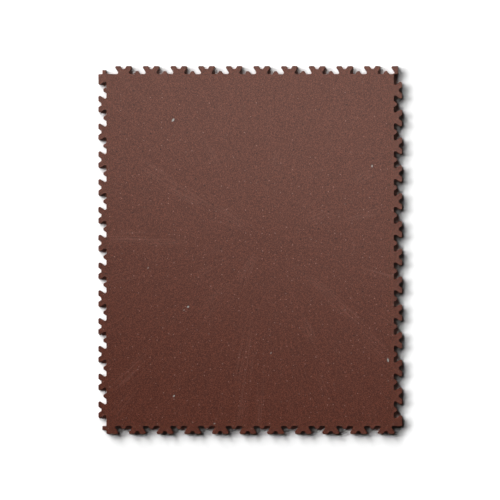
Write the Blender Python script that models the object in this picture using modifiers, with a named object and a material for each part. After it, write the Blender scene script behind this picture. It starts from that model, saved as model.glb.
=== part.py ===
"""An interlocking PVC floor tile, moulded in one piece.

Its four edges carry dovetail tabs with a notch in each head and a matching bump in each slot.
The tile lies flat: X runs across its width, Y along its length, and +Z is the walking face.
"""

from math import acos, ceil, cos, pi, radians, sin, tan

import bmesh
import bpy
from mathutils import Vector

# Driving dimensions in metres. The module is the distance at which laid tiles repeat.
MODULE_X = 0.500
MODULE_Y = 0.609
THICKNESS = 0.0070
TAB_DEPTH = 0.0137
TOP_CHAMFER = 0.0006

# Dovetail tabs: pitch, number of whole tabs and middle of the first slot or tab of each seam
PITCH_X = 0.04675
PITCH_Y = 0.04700
TABS_X = 10
TABS_Y = 12
FIRST_TAB_X = -0.2142
CORNER_TAB_Y = 6.25 * PITCH_Y
FLANK_LEAN = radians(34)
HEAD_RADIUS = 0.0025

# The notch in a head, which is also the bump in a slot
NOTCH_MOUTH = 0.0106
NOTCH_FLOOR = 0.0038
NOTCH_DEPTH = 0.0051
NOTCH_RADIUS = 0.0009

# The corners, where four laid tiles share one small square
CORNER_RADIUS = 0.0020
SQUARE_RADIUS = 0.0007
ARC_SAG = 0.00011  # how far an arc's chords may lie inside it

# Worked out from the above
SEAM_X = MODULE_X / 2
SEAM_Y = MODULE_Y / 2
HALF_DEPTH = TAB_DEPTH / 2
FLANK_SHIFT = HALF_DEPTH * tan(FLANK_LEAN)

PVC_BROWN = (0.110, 0.042, 0.030, 1.0)


def clear_scene():
    for old in list(bpy.data.objects):
        bpy.data.objects.remove(old, do_unlink=True)


def half_widths(pitch):
    """Half a tab's width at the root line and at the head line, for sharp corners."""
    return pitch / 4 - FLANK_SHIFT, pitch / 4 + FLANK_SHIFT


def notch(middle, base, inward):
    """Corners of the notch or bump at one place: (along, across, radius)."""
    tip = base + inward * NOTCH_DEPTH
    return [
        (middle - NOTCH_MOUTH / 2, base, NOTCH_RADIUS),
        (middle - NOTCH_FLOOR / 2, tip, NOTCH_RADIUS),
        (middle + NOTCH_FLOOR / 2, tip, NOTCH_RADIUS),
        (middle + NOTCH_MOUTH / 2, base, NOTCH_RADIUS),
    ]


def tab(middle, pitch):
    """Corners of one whole tab, from its root on one side to its root on the other."""
    root, head = half_widths(pitch)
    up = [(middle - root, 0, HEAD_RADIUS), (middle - head, TAB_DEPTH, HEAD_RADIUS)]
    down = [(middle + head, TAB_DEPTH, HEAD_RADIUS), (middle + root, 0, HEAD_RADIUS)]
    return up + notch(middle, TAB_DEPTH, -1) + down


def tab_row(first, count, pitch):
    """Corners of a run of tabs, with a bump in every slot between two of them."""
    corners = []
    for index in range(count):
        if index:
            corners += notch(first + (index - 0.5) * pitch, 0, 1)
        corners += tab(first + index * pitch, pitch)
    return corners


def cross_seam():
    """The seam across the width, as it runs along the far edge: x against y from its middle."""
    inner = SEAM_X - HALF_DEPTH
    root, head = half_widths(PITCH_X)
    last = FIRST_TAB_X + TABS_X * PITCH_X
    corners = [(-SEAM_X, HALF_DEPTH, SQUARE_RADIUS), (-inner, HALF_DEPTH, SQUARE_RADIUS)]
    corners.append((-inner, 0, CORNER_RADIUS))
    corners += tab_row(FIRST_TAB_X, TABS_X, PITCH_X)
    corners += notch(last - PITCH_X / 2, 0, 1)
    corners.append((last - root, 0, HEAD_RADIUS))
    corners.append((last - head, TAB_DEPTH, HEAD_RADIUS))
    corners.append((SEAM_X, TAB_DEPTH, SQUARE_RADIUS))
    return [(x, across - HALF_DEPTH, radius) for x, across, radius in corners]


def long_seam():
    """The seam along the length, as it runs down the left edge: x from its middle against y."""
    inner = SEAM_Y - HALF_DEPTH
    root, head = half_widths(PITCH_Y)
    start = -CORNER_TAB_Y
    corners = [(-inner, HALF_DEPTH, SQUARE_RADIUS), (-inner, TAB_DEPTH, CORNER_RADIUS)]
    corners.append((start + head, TAB_DEPTH, HEAD_RADIUS))
    corners.append((start + root, 0, HEAD_RADIUS))
    corners += notch(start + PITCH_Y / 2, 0, 1)
    corners += tab_row(start + PITCH_Y, TABS_Y, PITCH_Y)
    corners += [(inner, 0, SQUARE_RADIUS), (inner, HALF_DEPTH, SQUARE_RADIUS)]
    return [(HALF_DEPTH - across, -along, radius) for along, across, radius in corners]


def tile_corners():
    """The closed outline's corners, clockwise from the far left. Opposite edges share a seam."""
    far = [(x, SEAM_Y + y, radius) for x, y, radius in cross_seam()]
    near = [(x, -SEAM_Y + y, radius) for x, y, radius in cross_seam()]
    left = [(-SEAM_X + x, y, radius) for x, y, radius in long_seam()]
    right = [(SEAM_X + x, y, radius) for x, y, radius in long_seam()]
    # The near edge ends flush at the last right tab, so the two ends there are dropped
    return far + right[:-1] + near[-2::-1] + left[::-1]


def rounded(corners):
    """The outline's points, with each corner replaced by an arc of its own radius."""
    points = []
    for index, (x, y, radius) in enumerate(corners):
        here = Vector((x, y))
        back = Vector(corners[index - 1][:2]) - here
        ahead = Vector(corners[(index + 1) % len(corners)][:2]) - here
        inside = acos(max(-1.0, min(1.0, back.normalized().dot(ahead.normalized()))))
        turn = pi - inside
        if turn < radians(1):
            continue
        bisector = (back.normalized() + ahead.normalized()).normalized()
        centre = here + bisector * radius / sin(inside / 2)
        steps = ceil(turn / (2 * acos(1 - ARC_SAG / radius)))
        side = 1 if back.cross(ahead) > 0 else -1
        arm = (here + back.normalized() * radius / tan(inside / 2)) - centre
        for step in range(steps + 1):
            angle = -side * turn * step / steps
            swing = Vector((
                arm.x * cos(angle) - arm.y * sin(angle),
                arm.x * sin(angle) + arm.y * cos(angle),
            ))
            points.append(centre + swing)
    return points


def outline_curve(name, points):
    data = bpy.data.curves.new(name, "CURVE")
    data.dimensions = "2D"
    data.fill_mode = "BOTH"
    data.extrude = THICKNESS / 2
    spline = data.splines.new("POLY")
    spline.points.add(len(points) - 1)
    for slot, point in zip(spline.points, points):
        slot.co = (point.x, point.y, 0.0, 1.0)
    spline.use_cyclic_u = True
    curve = bpy.data.objects.new(name, data)
    curve.location.z = THICKNESS / 2
    return curve


def is_level(face):
    heights = [corner.co.z for corner in face.verts]
    return max(heights) - min(heights) < THICKNESS / 10


def solid_from(curve, collection):
    """The curve as a welded mesh whose two faces are single polygons."""
    collection.objects.link(curve)
    bpy.context.view_layer.update()
    evaluated = curve.evaluated_get(bpy.context.evaluated_depsgraph_get())
    mesh = bpy.data.meshes.new_from_object(evaluated)
    mesh.materials.clear()
    work = bmesh.new()
    work.from_mesh(mesh)
    bmesh.ops.remove_doubles(work, verts=work.verts, dist=0.00001)
    caps = [face for face in work.faces if is_level(face)]
    bmesh.ops.delete(work, geom=caps, context="FACES_ONLY")
    loose = [edge for edge in work.edges if edge.is_wire]
    bmesh.ops.delete(work, geom=loose, context="EDGES")
    bmesh.ops.holes_fill(work, edges=[edge for edge in work.edges if edge.is_boundary], sides=0)
    bmesh.ops.recalc_face_normals(work, faces=work.faces)
    weight = work.edges.layers.float.new("bevel_weight_edge")
    for edge in work.edges:
        if all(corner.co.z > THICKNESS / 4 for corner in edge.verts):
            edge[weight] = 1.0
    work.to_mesh(mesh)
    work.free()
    tile = bpy.data.objects.new(curve.name, mesh)
    tile.matrix_world = curve.matrix_world
    collection.objects.link(tile)
    bpy.data.objects.remove(curve, do_unlink=True)
    tile.name = mesh.name = "floor_tile"
    return tile


def chamfer_top(tile):
    bevel = tile.modifiers.new("top_edge", "BEVEL")
    bevel.limit_method = "WEIGHT"
    bevel.width = TOP_CHAMFER
    bevel.segments = 1
    bevel.use_clamp_overlap = False
    split = tile.modifiers.new("even_triangles", "TRIANGULATE")
    split.ngon_method = "BEAUTY"


def pvc_material():
    material = bpy.data.materials.new("pvc")
    material.use_nodes = True
    shader = material.node_tree.nodes["Principled BSDF"]
    shader.inputs["Base Color"].default_value = PVC_BROWN
    shader.inputs["Roughness"].default_value = 0.55
    shader.inputs["Metallic"].default_value = 0.0
    material.diffuse_color = PVC_BROWN
    return material


def main():
    clear_scene()
    collection = bpy.data.collections.new("interlocking_floor_tile")
    bpy.context.scene.collection.children.link(collection)
    curve = outline_curve("tile_outline", rounded(tile_corners()))
    tile = solid_from(curve, collection)
    chamfer_top(tile)
    tile.data.materials.append(pvc_material())


main()
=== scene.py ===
# Looks of one interlocking PVC floor tile: its moulded edges, grained face, floor, light and camera
from math import atan2, ceil, floor, pi, radians, tan
from random import Random

import bmesh
import bpy
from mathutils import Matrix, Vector, noise
from mathutils.geometry import delaunay_2d_cdt
from mathutils.kdtree import KDTree


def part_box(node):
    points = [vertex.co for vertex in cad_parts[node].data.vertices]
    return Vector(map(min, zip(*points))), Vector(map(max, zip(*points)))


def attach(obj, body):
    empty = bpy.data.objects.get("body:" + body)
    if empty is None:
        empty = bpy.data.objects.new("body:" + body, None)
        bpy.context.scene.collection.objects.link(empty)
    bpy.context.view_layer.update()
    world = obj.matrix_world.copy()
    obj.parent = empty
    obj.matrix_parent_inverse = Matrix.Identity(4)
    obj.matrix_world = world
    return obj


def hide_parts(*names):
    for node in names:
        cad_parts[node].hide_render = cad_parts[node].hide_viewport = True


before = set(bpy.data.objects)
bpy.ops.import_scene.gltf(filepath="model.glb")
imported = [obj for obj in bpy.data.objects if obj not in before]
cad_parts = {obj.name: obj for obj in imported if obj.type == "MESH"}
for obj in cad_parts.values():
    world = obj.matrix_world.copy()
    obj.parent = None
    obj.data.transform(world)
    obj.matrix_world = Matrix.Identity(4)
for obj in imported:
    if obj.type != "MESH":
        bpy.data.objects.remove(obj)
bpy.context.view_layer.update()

tileLow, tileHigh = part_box("floor_tile")
print("stage: frame loaded,", len(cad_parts), "node")


# One socket of a node tree. Arithmetic on it adds Math nodes to the tree.
class Wire:
    def __init__(self, tree, socket=None):
        self.tree = tree
        self.socket = socket

    def make(self, kind, settings=None, values=None, output=0):
        node = self.tree.nodes.new(kind)
        for name, setting in (settings or {}).items():
            setattr(node, name, setting)
        for key, value in (values or {}).items():
            socket = node.inputs[key]
            for part in value if isinstance(value, list) else [value]:
                if isinstance(part, Wire):
                    self.tree.links.new(part.socket, socket)
                else:
                    socket.default_value = part
        return Wire(self.tree, node.outputs[output]) if len(node.outputs) else node

    def other(self, output):
        return Wire(self.tree, self.socket.node.outputs[output])

    def math(self, operation, *operands):
        return self.make("ShaderNodeMath", {"operation": operation}, dict(enumerate(operands)))

    def __add__(self, value):
        return self.math("ADD", self, value)

    def __radd__(self, value):
        return self.math("ADD", value, self)

    def __sub__(self, value):
        return self.math("SUBTRACT", self, value)

    def __rsub__(self, value):
        return self.math("SUBTRACT", value, self)

    def __mul__(self, value):
        return self.math("MULTIPLY", self, value)

    def __rmul__(self, value):
        return self.math("MULTIPLY", value, self)

    def __truediv__(self, value):
        return self.math("DIVIDE", self, value)

    def __gt__(self, value):
        return self.math("GREATER_THAN", self, value)

    def __lt__(self, value):
        return self.math("LESS_THAN", self, value)

    def __neg__(self):
        return self.math("MULTIPLY", self, -1)

    def ramp(self, low, high):
        # 0 below low and 1 above high, with soft ends
        values = {"Value": self, "From Min": low, "From Max": high}
        return self.make("ShaderNodeMapRange", {"interpolation_type": "SMOOTHSTEP"}, values)

    def vector(self, operation, *operands, output=0):
        values = dict(enumerate(operands))
        return self.make("ShaderNodeVectorMath", {"operation": operation}, values, output)

    def mix(self, under, over):
        # the colour under where this is 0 and the colour over where it is 1
        return self.make("ShaderNodeMix", {"data_type": "RGBA"}, {0: self, 6: under, 7: over}, 2)


# The tile. Lengths are in metres, its box is the frame's, and radii are those of moulded corners.
tile = {
    "tabDepth": 0.0137,
    "acrossPitch": 0.04675,
    "alongPitch": 0.0470,
    "acrossTabs": 10,
    "alongTabs": 12,
    "firstAcross": -0.2142,  # middle of each seam's first whole tab
    "firstAlong": -5.75 * 0.0470,
    "flankLean": radians(34),
    "headRadius": 0.0025,
    "notchMouth": 0.0106,
    "notchFloor": 0.0038,
    "notchDepth": 0.0051,
    "notchRadius": 0.0009,
    "cornerRadius": 0.0020,
    "squareRadius": 0.0007,
    "arcPoints": 2600,  # points of an arc for each metre of its radius
    "wireGap": 0.00002,  # ends of the seams' runs that lie this close are joined
    "solidGap": 0.00001,  # and so are the points of the underside and the walls
    "topRound": 0.0004,
    "underRound": 0.0002,
    "roundSteps": 2,
    "sharpAngle": radians(50),  # edges that turn more are shaded sharp
    "grainSpacing": 0.00215,  # distance between the walking face's points
    "grainRowStep": 0.866,  # between their rows, as a share of the spacing
    "grainScatter": 0.2,  # how far each point may lie off its place, in spacings
    "grainSize": 0.0034,
    "grainDepth": 0.00009,  # all of it below the rim's level
    "grainFractal": (1.0, 2.0, 2),  # dimension, lacunarity and octaves
    "grainMargin": 0.0012,  # the rim stays level this far in
    "grainClear": 0.8,  # share of the margin with no points at all
    "grainFade": 1.5,  # margins over which the grain reaches its full depth
    "grainSeed": 11,
    "pointGap": 0.0000001,
}
moduleX = tileHigh[0] - tileLow[0] - tile["tabDepth"]
moduleY = tileHigh[1] - tileLow[1] - tile["tabDepth"]
thickness = tileHigh[2] - tileLow[2]


def flankEnds(pitch):
    # half a tab's width at its root and at its head, before the corners are rounded
    shift = tile["tabDepth"] / 2 * tan(tile["flankLean"])
    return pitch / 4 - shift, pitch / 4 + shift


def notchCorners(middle, base, inward):
    mouth, end = tile["notchMouth"] / 2, tile["notchFloor"] / 2
    tip = base + inward * tile["notchDepth"]
    places = [(-mouth, base), (-end, tip), (end, tip), (mouth, base)]
    return [(middle + x, y, tile["notchRadius"]) for x, y in places]


def tabCorners(pitch):
    # one tab and the slot after it, from the root of this tab to the root of the next
    root, head = flankEnds(pitch)
    depth, radius = tile["tabDepth"], tile["headRadius"]
    corners = [(-root, 0, radius), (-head, depth, radius)]
    corners += notchCorners(0, depth, -1)
    corners += [(head, depth, radius), (root, 0, radius)]
    corners += notchCorners(pitch / 2, 0, 1)
    return corners + [(pitch - root, 0, radius)]


def acrossEnds():
    depth, pitch, small = tile["tabDepth"], tile["acrossPitch"], tile["squareRadius"]
    root, head = flankEnds(pitch)
    first = tile["firstAcross"]
    last = first + tile["acrossTabs"] * pitch
    inner = -moduleX / 2 + depth / 2
    start = [(-moduleX / 2, depth / 2, small), (inner, depth / 2, small)]
    start += [(inner, 0, tile["cornerRadius"]), (first - root, 0, tile["headRadius"])]
    end = [(last - root, 0, tile["headRadius"]), (last - head, depth, tile["headRadius"])]
    return [start, end + [(moduleX / 2, depth, small)]]


def alongEnds():
    depth, pitch, small = tile["tabDepth"], tile["alongPitch"], tile["squareRadius"]
    root, head = flankEnds(pitch)
    first = tile["firstAlong"]
    last = first + tile["alongTabs"] * pitch
    inner = moduleY / 2 - depth / 2
    start = [(-inner, depth / 2, small), (-inner, 0, small), (first - root, 0, tile["headRadius"])]
    end = [(last - root, 0, tile["headRadius"]), (last - head, depth, tile["headRadius"])]
    return [start, end + [(inner, depth, tile["cornerRadius"]), (inner, depth / 2, small)]]


def cornerLinks():
    # the short runs that join an edge's seam to the next one at three of the corners
    depth, small = tile["tabDepth"], tile["squareRadius"]
    x, y = moduleX / 2, moduleY / 2
    root = y - depth / 2
    return [
        [(-x, root, small), (-x, y, small)],
        [(-x, -y, small), (-x, -root, small)],
        [(x, y + depth / 2, small), (x, root, small)],
    ]


def cornerCurve(name, runs):
    data = bpy.data.curves.new(name, "CURVE")
    data.dimensions = "3D"
    for run in runs:
        spline = data.splines.new("POLY")
        spline.points.add(len(run) - 1)
        for point, (x, y, radius) in zip(spline.points, run):
            point.co = (x, y, 0, 1)
            point.radius = radius
    curve = bpy.data.objects.new(name, data)
    bpy.context.scene.collection.objects.link(curve)
    return curve


def seamTree(material):
    # corner runs in, tile solid out: tabs are instanced along each seam, rounded, filled and raised
    tree = bpy.data.node_groups.new("tileSeams", "GeometryNodeTree")
    sizes = {
        "Across Pitch": "NodeSocketFloat", "Along Pitch": "NodeSocketFloat",
        "Across Tabs": "NodeSocketInt", "Along Tabs": "NodeSocketInt",
        "First Across": "NodeSocketFloat", "First Along": "NodeSocketFloat",
        "Module X": "NodeSocketFloat", "Module Y": "NodeSocketFloat",
        "Tab Depth": "NodeSocketFloat", "Thickness": "NodeSocketFloat",
        "Arc Points": "NodeSocketFloat", "Under Share": "NodeSocketFloat",
        "Wire Gap": "NodeSocketFloat", "Solid Gap": "NodeSocketFloat",
    }
    tree.interface.new_socket("Geometry", in_out="INPUT", socket_type="NodeSocketGeometry")
    for name in ("Across Tab", "Along Tab", "Across Ends", "Along Ends"):
        tree.interface.new_socket(name, in_out="INPUT", socket_type="NodeSocketObject")
    for name, kind in sizes.items():
        tree.interface.new_socket(name, in_out="INPUT", socket_type=kind)
    tree.interface.new_socket("Geometry", in_out="OUTPUT", socket_type="NodeSocketGeometry")
    links = Wire(tree).make("NodeGroupInput")
    size = links.other

    def corners(geometry):
        radius = geometry.make("GeometryNodeInputRadius")
        values = {"Geometry": geometry, "Name": "cornerRadius", "Value": radius}
        return geometry.make("GeometryNodeStoreNamedAttribute", {"domain": "POINT"}, values)

    def shape(socket):
        values = {"Object": size(socket)}
        return corners(links.make("GeometryNodeObjectInfo", {}, values, "Geometry"))

    def joined(*parts):
        return links.make("GeometryNodeJoinGeometry", {}, {"Geometry": list(parts)})

    def moved(geometry, x=0.0, y=0.0, turn=0.0):
        place = links.make("ShaderNodeCombineXYZ", {}, {"X": x, "Y": y})
        values = {"Geometry": geometry, "Translation": place, "Rotation": (0, 0, turn)}
        return links.make("GeometryNodeTransform", {}, values)

    def seam(way):
        start = links.make("ShaderNodeCombineXYZ", {}, {"X": size("First " + way)})
        step = links.make("ShaderNodeCombineXYZ", {}, {"X": size(way + " Pitch")})
        values = {"Count": size(way + " Tabs"), "Start Location": start, "Offset": step}
        places = links.make("GeometryNodeMeshLine", {"mode": "OFFSET"}, values)
        values = {"Points": places, "Instance": shape(way + " Tab")}
        row = links.make("GeometryNodeInstanceOnPoints", {}, values)
        row = row.make("GeometryNodeRealizeInstances", {}, {"Geometry": row})
        return joined(shape(way + " Ends"), row)

    halfX, halfY, halfDepth = size("Module X") / 2, size("Module Y") / 2, size("Tab Depth") / 2
    across, along = seam("Across"), seam("Along")
    edges = joined(
        corners(links),
        moved(across, y=halfY - halfDepth),
        moved(across, y=-halfY - halfDepth),
        moved(along, x=halfDepth - halfX, turn=pi / 2),
        moved(along, x=halfDepth + halfX, turn=pi / 2),
    )
    wires = edges.make("GeometryNodeCurveToMesh", {}, {"Curve": edges})
    values = {"Geometry": wires, "Distance": size("Wire Gap")}
    wires = wires.make("GeometryNodeMergeByDistance", {}, values)
    loop = wires.make("GeometryNodeMeshToCurve", {}, {"Mesh": wires})
    settings = {"data_type": "FLOAT"}
    radius = loop.make("GeometryNodeInputNamedAttribute", settings, {"Name": "cornerRadius"})
    values = {"Curve": loop, "Count": radius * size("Arc Points") + 1.5, "Radius": radius}
    outline = loop.make("GeometryNodeFilletCurve", {"mode": "POLY"}, values)
    under = outline.make("GeometryNodeFillCurve", {"mode": "NGONS"}, {"Curve": outline})
    rise = links.make("ShaderNodeCombineXYZ", {}, {"Z": size("Thickness")})
    values = {"Mesh": under, "Offset": rise, "Offset Scale": 1.0, "Individual": False}
    raised = under.make("GeometryNodeExtrudeMesh", {"mode": "FACES"}, values)
    turned = under.make("GeometryNodeFlipFaces", {}, {"Mesh": under})
    solid = joined(raised, turned)
    values = {"Geometry": solid, "Distance": size("Solid Gap")}
    solid = solid.make("GeometryNodeMergeByDistance", {}, values)

    # rim edges carry the weight that the bevel reads: 1 on the walking face, less underneath,
    # and none on upright edges, whose middle lies between
    place = solid.make("GeometryNodeInputPosition")
    height = solid.make("ShaderNodeSeparateXYZ", {}, {0: place}, 2)
    top = height > size("Thickness") * 0.9
    low = height < size("Thickness") * 0.1
    weight = top + low * size("Under Share")
    values = {"Geometry": solid, "Name": "bevel_weight_edge", "Value": weight}
    solid = solid.make("GeometryNodeStoreNamedAttribute", {"domain": "EDGE"}, values)
    solid = solid.make("GeometryNodeSetMaterial", {}, {"Geometry": solid, "Material": material})
    solid.make("NodeGroupOutput", {}, {0: solid})
    return tree


def plainMesh(piece, name):
    # the piece as its modifiers leave it, in an object of its own at the origin
    bpy.context.view_layer.update()
    evaluated = piece.evaluated_get(bpy.context.evaluated_depsgraph_get())
    mesh = bpy.data.meshes.new_from_object(evaluated)
    mesh.name = name
    result = bpy.data.objects.new(name, mesh)
    bpy.context.scene.collection.objects.link(result)
    return result


def rowCrossings(outline, y):
    # places along X at which a line across the tile meets the outline
    crossings = []
    for (x1, y1), (x2, y2) in zip(outline, outline[1:] + outline[:1]):
        if (y1 > y) != (y2 > y):
            crossings.append(x1 + (x2 - x1) * (y - y1) / (y2 - y1))
    return sorted(crossings)


def facePoints(outline):
    # staggered rows of points inside the outline, a little off their places, clear of the rim
    spacing, margin = tile["grainSpacing"], tile["grainMargin"]
    rowStep, scatter = tile["grainRowStep"], tile["grainScatter"]
    rim = []
    for start, end in zip(outline, outline[1:] + outline[:1]):
        steps = max(1, round((end - start).length / (margin / 2)))  # two points to a margin
        rim += [start.lerp(end, step / steps) for step in range(steps)]
    near = KDTree(len(rim))
    for index, place in enumerate(rim):
        near.insert(place.to_3d(), index)
    near.balance()
    chance = Random(tile["grainSeed"])
    points = []
    for row in range(int((tileHigh[1] - tileLow[1]) / (spacing * rowStep))):
        y = tileLow[1] + (row + 0.5) * spacing * rowStep
        stagger = row % 2 / 2
        crossings = rowCrossings(outline, y)
        for left, right in zip(crossings[::2], crossings[1::2]):
            first = ceil((left - tileLow[0]) / spacing - stagger)
            last = floor((right - tileLow[0]) / spacing - stagger)
            for column in range(first, last + 1):
                x = tileLow[0] + (column + stagger) * spacing
                shifts = [chance.uniform(-scatter, scatter) * spacing for axis in "xy"]
                place = Vector((x + shifts[0], y + shifts[1]))
                gap = near.find(place.to_3d())[2]
                if gap > margin * tile["grainClear"]:
                    points.append((place, gap))
    return points


def grainDrop(place, gap):
    # how far the moulded grain dips at one point, fading out towards the rim
    height = noise.fractal(place.to_3d() / tile["grainSize"], *tile["grainFractal"])
    height = 0.5 + 0.5 * height  # from 0 to 1, like the fade
    fade = min(1, max(0, gap / tile["grainMargin"] - tile["grainClear"]) / tile["grainFade"])
    return tile["grainDepth"] * fade * min(1, max(0, 1 - height))


def grainFace(mesh):
    # the flat walking face becomes fine triangles that carry the grain
    work = bmesh.new()
    work.from_mesh(mesh)
    caps = sorted(work.faces, key=lambda face: -len(face.verts))[:2]
    for edge in work.edges:
        edge.smooth = edge.calc_face_angle(0) < tile["sharpAngle"]
    for cap in caps:  # the flats end crisply where the rounding starts
        for edge in cap.edges:
            edge.smooth = False
    top = max(caps, key=lambda face: face.calc_center_median().z)
    rim = list(top.verts)
    outline = [corner.co.xy for corner in rim]
    points = facePoints(outline)
    level = rim[0].co.z
    slot = top.material_index
    work.faces.remove(top)
    flat = outline + [place for place, gap in points]
    border = list(range(len(rim)))
    cut = delaunay_2d_cdt(flat, [], [border], 0, tile["pointGap"], True)
    corners = []
    for place, sources in zip(cut[0], cut[3]):
        if sources[0] < len(rim):
            corners.append(rim[sources[0]])
        else:
            drop = grainDrop(place, points[sources[0] - len(rim)][1])
            corners.append(work.verts.new((*place, level - drop)))
    for triangle, inside in zip(cut[2], cut[5]):
        if inside:
            work.faces.new([corners[index] for index in triangle]).material_index = slot
    for face in work.faces:
        face.smooth = True
    work.to_mesh(mesh)
    work.free()


def buildTile(material):
    links = cornerCurve("cornerLinks", cornerLinks())
    shapes = {
        "Across Tab": cornerCurve("acrossTab", [tabCorners(tile["acrossPitch"])]),
        "Along Tab": cornerCurve("alongTab", [tabCorners(tile["alongPitch"])]),
        "Across Ends": cornerCurve("acrossEnds", acrossEnds()),
        "Along Ends": cornerCurve("alongEnds", alongEnds()),
    }
    values = {
        "Across Pitch": tile["acrossPitch"], "Along Pitch": tile["alongPitch"],
        "Across Tabs": tile["acrossTabs"], "Along Tabs": tile["alongTabs"],
        "First Across": tile["firstAcross"], "First Along": tile["firstAlong"],
        "Module X": moduleX, "Module Y": moduleY,
        "Tab Depth": tile["tabDepth"], "Thickness": thickness,
        "Arc Points": tile["arcPoints"], "Under Share": tile["underRound"] / tile["topRound"],
        "Wire Gap": tile["wireGap"], "Solid Gap": tile["solidGap"],
    }
    seams = links.modifiers.new("seams", "NODES")
    seams.node_group = seamTree(material)
    inputs = {**shapes, **values}
    for item in seams.node_group.interface.items_tree:
        if item.in_out == "INPUT" and item.name in inputs:
            seams[item.identifier] = inputs[item.name]
    solid = plainMesh(links, "tileSolid")
    for curve in [links, *shapes.values()]:
        bpy.data.objects.remove(curve, do_unlink=True)

    rounding = solid.modifiers.new("rounding", "BEVEL")
    rounding.limit_method = "WEIGHT"
    rounding.width = tile["topRound"]
    rounding.segments = tile["roundSteps"]
    rounding.use_clamp_overlap = False
    body = plainMesh(solid, "tileBody")
    bpy.data.objects.remove(solid, do_unlink=True)
    grainFace(body.data)
    print("stage: tile body,", len(body.data.polygons), "faces")
    return body


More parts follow.
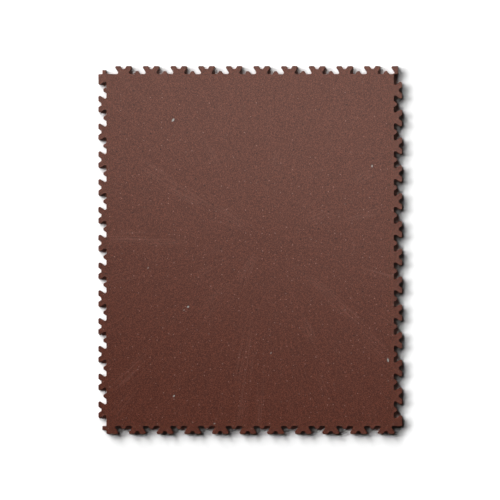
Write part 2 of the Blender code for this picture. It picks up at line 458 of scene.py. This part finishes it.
# The moulded PVC. Colours are linear, and places on the face are in metres from its middle.
# A pair that something fades between starts at its first value and ends at its second.
pvc = {
    "colour": (0.0470, 0.0100, 0.0050, 1),
    "paleGrain": (0.1410, 0.0413, 0.0242, 1),
    "darkGrain": (0.0114, 0.0022, 0.0012, 1),
    "grainScale": 1000,  # pebbles to a metre
    "paleTones": (0.5, 1.0),  # of the pebbles' random tone
    "darkTones": (0.0, 0.5),
    "paleShare": 0.42,
    "darkShare": 0.64,
    "wallGrain": 0.4,  # share of the grain that the walls and the underside keep
    "faceHeights": (0.0060, 0.0067),  # above them lies the walking face with its marks
    "roughness": 0.375,
    "pebbleGloss": 0.075,  # how much smoother the palest pebbles are
    "gloss": 0.20,
    "bumpHeight": 0.00005,
    # streaks that the melt left as it flowed out from the gate
    "gate": (0.023, 0.020),
    "streakFineness": (60, 140),  # lines to a radian, near the gate and further out
    "streakReach": (0.11, 0.16),  # how far out the finer lines take over
    "streakChange": 8,  # how soon lines change on the way out
    "streakNoise": (0.50, 0.64),
    "streakColour": (0.160, 0.072, 0.056, 1),
    "streakShare": 0.20,
    "streakGloss": 0.03,
    # a streak is fine lines on a slightly paler patch, and a little of it shows everywhere but at the gate
    "lineStrength": 0.9,
    "patchStrength": 0.06,
    "faintStrength": 0.20,
    "faintReach": (0.03, 0.09),
    "streakRim": (0.3, 1.15),
    # the patches: x, y, half length towards the gate, half width, strength
    "streaks": [
        (-0.106, 0.093, 0.051, 0.013, 1.0),
        (-0.157, 0.130, 0.045, 0.017, 0.6),
        (-0.033, 0.054, 0.037, 0.017, 0.7),
        (-0.213, 0.022, 0.056, 0.013, 1.0),
        (-0.140, 0.014, 0.048, 0.011, 0.6),
        (-0.213, -0.051, 0.045, 0.020, 0.5),
        (-0.084, -0.042, 0.028, 0.014, 0.5),
        (-0.005, -0.031, 0.034, 0.014, 0.7),
        (-0.067, -0.090, 0.048, 0.017, 0.6),
        (-0.208, -0.206, 0.042, 0.017, 1.0),
        (-0.213, -0.259, 0.039, 0.014, 0.4),
        (-0.008, -0.175, 0.062, 0.020, 0.6),
        (-0.015, -0.259, 0.045, 0.010, 0.6),
        (0.017, -0.254, 0.048, 0.008, 0.8),
        (0.097, -0.135, 0.031, 0.013, 0.8),
        (0.142, -0.084, 0.062, 0.017, 0.9),
        (0.215, -0.163, 0.042, 0.014, 0.7),
        (0.192, 0.121, 0.020, 0.013, 1.0),
        (0.190, 0.062, 0.034, 0.011, 1.0),
        (0.221, -0.039, 0.034, 0.008, 0.8),
        (0.122, 0.062, 0.037, 0.014, 0.6),
        (0.232, -0.113, 0.020, 0.014, 0.8),
        (0.125, -0.225, 0.025, 0.011, 0.5),
        (0.046, 0.152, 0.025, 0.020, 0.5),
        (-0.056, 0.158, 0.028, 0.017, 0.5),
    ],
    # short upright scuffs: x, y, half length
    "scuffs": [
        (0.1755, 0.0057, 0.0141),
        (0.1784, -0.1127, 0.0124),
        (0.1457, -0.1702, 0.0090),
        (-0.0922, 0.0136, 0.0096),
        (-0.1103, 0.0226, 0.0073),
        (-0.0657, -0.0647, 0.0056),
        (-0.1723, -0.0281, 0.0056),
    ],
    "scuffWidth": 0.0014,
    "scuffRim": (0.3, 1.0),
    "scuffStrength": 0.7,
    # pinkish specks of filler all over: share of cells with one, near and far
    "speckSpacing": 0.0100,
    "speckRadius": 0.0011,
    "speckShares": (0.36, 0.10),
    "speckSpan": (-0.05, 0.30),
    "speckSeed": 0.37,
    "speckStrength": 0.5,
    "speckColour": (0.27, 0.17, 0.145, 1),
    # dark pits: real dips in the bump, more of them towards the far side where the sheen shows them; their
    # near-black colour is painted shade
    "pitSpacing": 0.0150,
    "pitRadius": 0.0021,
    "pitShare": 0.30,
    "pitSpan": (-0.25, 0.32),
    "pitSeed": 0.83,
    "pitShadeStrength": 0.85,
    "pitDepth": 0.6,
    "pitShadeColour": (0.010, 0.002, 0.001, 1),
    # specks and pits: the smallest one, and how far out each is solid, as shares of the radius
    "spotSmallest": 0.4,
    "spotSolid": 0.45,
    # pale flecks that stuck to the face: x, y, length, width, turn, strength
    "flecks": [
        (-0.1305, 0.2199, 0.0062, 0.0034, 0.9, 1.0),
        (0.2060, 0.1420, 0.0042, 0.0026, 1.4, 0.8),
        (0.2330, -0.1860, 0.0070, 0.0028, 1.7, 0.9),
        (-0.1050, -0.0960, 0.0042, 0.0030, 0.3, 0.9),
        (-0.1289, -0.2468, 0.0040, 0.0026, 0.6, 0.9),
        (-0.1728, -0.0304, 0.0034, 0.0020, 1.2, 0.5),
        (0.0352, -0.1741, 0.0034, 0.0020, 1.0, 0.5),
        (-0.1120, -0.1014, 0.0028, 0.0020, 0.4, 0.45),
        (-0.0604, -0.2934, 0.0036, 0.0022, 0.2, 0.6),
    ],
    "fleckRim": (0.55, 0.85),
    "fleckRagged": 0.5,
    "raggedScale": 900.0,
    "fleckColour": (0.20, 0.215, 0.205, 1),
}


def spotMask(here, spacing, radius, share, seed):
    # round spots in a share of the cells of a random pattern, of varying size
    place = here.vector("ADD", here, (seed, 0.3 * seed, 0))
    cells = {"Vector": place, "Scale": 1 / spacing, "Randomness": 1.0}
    spots = here.make("ShaderNodeTexVoronoi", {"voronoi_dimensions": "2D"}, cells, "Distance")
    chance = here.make("ShaderNodeSeparateColor", {}, {0: spots.other("Color")})
    size = chance.other(1) * (1 - pvc["spotSmallest"]) + pvc["spotSmallest"]
    inside = 1 - spots.ramp(size * (pvc["spotSolid"] * radius / spacing), size * (radius / spacing))
    return inside * (chance < share)


def ovalReach(here, x, y, length, width, turn):
    # 0 in the middle of a turned oval on the face and 1 at its rim
    values = {
        "Vector": here, "Location": (x, y, tileHigh[2]),
        "Rotation": (0, 0, turn), "Scale": (length, width, 1),
    }
    local = here.make("ShaderNodeMapping", {"vector_type": "TEXTURE"}, values)
    return local.vector("LENGTH", local, output=1)


def streakLines(arm, along, fineness):
    # noise that hardly changes on the way out from the gate
    side = arm.vector("SCALE", arm.vector("NORMALIZE", arm))
    side.socket.node.inputs["Scale"].default_value = fineness
    values = {"Vector": side.vector("ADD", side, along), "Scale": 1.0, "Detail": 1.0}
    return arm.make("ShaderNodeTexNoise", {}, values).ramp(*pvc["streakNoise"])


def streakMask(here):
    # fine lines towards the gate, brought out in patches
    gateX, gateY = pvc["gate"]
    arm = here.vector("SUBTRACT", here, (gateX, gateY, tileHigh[2]))
    reach = arm.vector("LENGTH", arm, output=1)
    along = here.make("ShaderNodeCombineXYZ", {}, {"Z": reach * pvc["streakChange"]})
    near, far = [streakLines(arm, along, fineness) for fineness in pvc["streakFineness"]]
    lines = near + (far - near) * reach.ramp(*pvc["streakReach"])
    shown = reach.ramp(*pvc["faintReach"]) * pvc["faintStrength"]
    for x, y, length, width, strength in pvc["streaks"]:
        turn = atan2(gateY - y, gateX - x)
        patch = 1 - ovalReach(here, x, y, length, width, turn).ramp(*pvc["streakRim"])
        shown = shown + patch * strength
    mask = lines * pvc["lineStrength"] * shown + shown * pvc["patchStrength"]
    for x, y, length in pvc["scuffs"]:
        scuff = 1 - ovalReach(here, x, y, pvc["scuffWidth"], length, 0.0).ramp(*pvc["scuffRim"])
        mask = mask + scuff * pvc["scuffStrength"]
    return mask.math("MINIMUM", mask, 1.0)


def speckMask(here, along):
    near, far = pvc["speckShares"]
    share = near - along.ramp(*pvc["speckSpan"]) * (near - far)
    return spotMask(here, pvc["speckSpacing"], pvc["speckRadius"], share, pvc["speckSeed"])


def pitMask(here, along):
    share = along.ramp(*pvc["pitSpan"]) * pvc["pitShare"]
    return spotMask(here, pvc["pitSpacing"], pvc["pitRadius"], share, pvc["pitSeed"])


def pvcMaterial():
    material = bpy.data.materials.new("mouldedPvc")
    material.use_nodes = True
    tree = material.node_tree
    shader = tree.nodes["Principled BSDF"]
    here = Wire(tree).make("ShaderNodeTexCoord", {}, {}, "Object")
    along = here.make("ShaderNodeSeparateXYZ", {}, {0: here}, 1)
    face = along.other(2).ramp(*pvc["faceHeights"])
    grain = face * (1 - pvc["wallGrain"]) + pvc["wallGrain"]
    values = {"Vector": here, "Scale": pvc["grainScale"], "Randomness": 1.0}
    pebbles = here.make("ShaderNodeTexVoronoi", {}, values, "Distance")
    tone = here.make("ShaderNodeSeparateColor", {}, {0: pebbles.other("Color")}, 2)
    pale = tone.ramp(*pvc["paleTones"]) * grain
    dark = (1 - tone.ramp(*pvc["darkTones"])) * grain
    streaks = streakMask(here) * face
    specks = speckMask(here, along)
    pits = pitMask(here, along)

    colour = (pale * pvc["paleShare"]).mix(pvc["colour"], pvc["paleGrain"])
    colour = (dark * pvc["darkShare"]).mix(colour, pvc["darkGrain"])
    colour = (streaks * pvc["streakShare"]).mix(colour, pvc["streakColour"])
    colour = (specks * pvc["speckStrength"]).mix(colour, pvc["speckColour"])
    # painted shade: the pits' near-black colour stands in for the shade in the pores, over their real dip
    # in the bump
    colour = (pits * pvc["pitShadeStrength"]).mix(colour, pvc["pitShadeColour"])
    values = {"Vector": here, "Scale": pvc["raggedScale"], "Detail": 1.0}
    ragged = here.make("ShaderNodeTexNoise", {}, values) * pvc["fleckRagged"]
    for x, y, length, width, turn, strength in pvc["flecks"]:
        edge = ovalReach(here, x, y, length, width, turn) + ragged
        fleck = (1 - edge.ramp(*pvc["fleckRim"])) * face
        colour = (fleck * strength).mix(colour, pvc["fleckColour"])

    tree.links.new(colour.socket, shader.inputs["Base Color"])
    roughness = pvc["roughness"] - tone * pvc["pebbleGloss"] - streaks * pvc["streakGloss"]
    tree.links.new(roughness.socket, shader.inputs["Roughness"])
    relief = -pebbles - pits * pvc["pitDepth"]
    values = {"Height": relief, "Strength": 1.0, "Distance": pvc["bumpHeight"]}
    bump = here.make("ShaderNodeBump", {}, values)
    tree.links.new(bump.socket, shader.inputs["Normal"])
    shader.inputs["Specular IOR Level"].default_value = pvc["gloss"]
    return material


body = buildTile(pvcMaterial())
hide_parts("floor_tile")
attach(body, "root")

# Floor, light and camera
studio = {
    "floorSize": 12.0,
    "floorGap": 0.0001,  # the floor lies this far below the tile
    "floorColour": (0.82, 0.82, 0.82, 1),
    "floorRoughness": 0.9,
    # each soft light: turn from the far side towards the left, height, spread and strength
    "softLights": {
        "keyLight": (radians(50), radians(46), radians(4), 0.28),
        "mainLight": (radians(37), radians(18), radians(25), 4.85),
        "sideLight": (radians(63), radians(18), radians(25), 4.85),
        "leftLight": (radians(80), radians(17), radians(16), 2.90),
        "lowLight": (radians(5), radians(8), radians(4), 4.13),
    },
    # the world's brightness as the tile and the floor get it, and as gloss mirrors it
    "fill": 0.003,
    "mirroredRoom": 0.25,
    # one wide softbox that only gloss shows
    "sheenPlace": (0.09, 0.43, 1.60),
    "sheenSize": (1.7, 0.9),
    "sheenPower": 32.5,
    "sheenColour": (1.0, 0.745, 0.650),
    "cameraHeight": 8.0,
    "sensorWidth": 36,
    "viewWidth": 0.8456,  # metres across the frame at the walking face
    "middle": (-0.00034, 0.00008),
}


def buildFloor():
    mesh = bpy.data.meshes.new("paleFloor")
    work = bmesh.new()
    bmesh.ops.create_grid(work, x_segments=1, y_segments=1, size=studio["floorSize"] / 2)
    work.to_mesh(mesh)
    work.free()
    ground = bpy.data.objects.new("paleFloor", mesh)
    ground.location.z = tileLow[2] - studio["floorGap"]
    bpy.context.scene.collection.objects.link(ground)
    material = bpy.data.materials.new("palePaint")
    material.use_nodes = True
    shader = material.node_tree.nodes["Principled BSDF"]
    shader.inputs["Base Color"].default_value = studio["floorColour"]
    shader.inputs["Roughness"].default_value = studio["floorRoughness"]
    shader.inputs["Specular IOR Level"].default_value = 0.0
    mesh.materials.append(material)


def addSun(name, turn, height, spread, strength):
    light = bpy.data.lights.new(name, "SUN")
    light.energy = strength
    light.angle = spread
    sun = bpy.data.objects.new(name, light)
    sun.rotation_euler = (pi / 2 - height, 0, pi + turn)
    sun.visible_glossy = False  # the softbox alone makes the sheen
    bpy.context.scene.collection.objects.link(sun)


def buildLight():
    for name, light in studio["softLights"].items():
        addSun(name, *light)
    sheen = bpy.data.lights.new("sheenLight", "AREA")
    sheen.shape = "RECTANGLE"
    sheen.size, sheen.size_y = studio["sheenSize"]
    sheen.energy = studio["sheenPower"]
    sheen.color = studio["sheenColour"]
    softbox = bpy.data.objects.new("sheenLight", sheen)
    softbox.location = studio["sheenPlace"]
    softbox.rotation_euler = softbox.location.to_track_quat("Z", "Y").to_euler()
    softbox.visible_diffuse = False
    softbox.visible_camera = False
    bpy.context.scene.collection.objects.link(softbox)


def buildWorld():
    # white to the camera, dim to everything else
    world = bpy.data.worlds.new("studio")
    bpy.context.scene.world = world
    world.use_nodes = True
    sky = world.node_tree.nodes["Background"]
    seen = Wire(world.node_tree).make("ShaderNodeLightPath", {}, {}, "Is Camera Ray")
    mirrored = seen.other("Is Glossy Ray")
    strength = seen * (1 - studio["fill"]) + mirrored * studio["mirroredRoom"] + studio["fill"]
    world.node_tree.links.new(strength.socket, sky.inputs["Strength"])
    sky.inputs["Color"].default_value = (1, 1, 1, 1)


def buildCamera():
    data = bpy.data.cameras.new("camera")
    data.sensor_width = studio["sensorWidth"]
    distance = studio["cameraHeight"] - tileHigh[2]
    data.lens = data.sensor_width * distance / studio["viewWidth"]
    camera = bpy.data.objects.new("camera", data)
    camera.location = (*studio["middle"], studio["cameraHeight"])
    bpy.context.scene.collection.objects.link(camera)
    bpy.context.scene.camera = camera


buildFloor()
buildLight()
buildWorld()
buildCamera()
bpy.context.scene.view_settings.view_transform = "Standard"
print("stage: floor, light and camera")
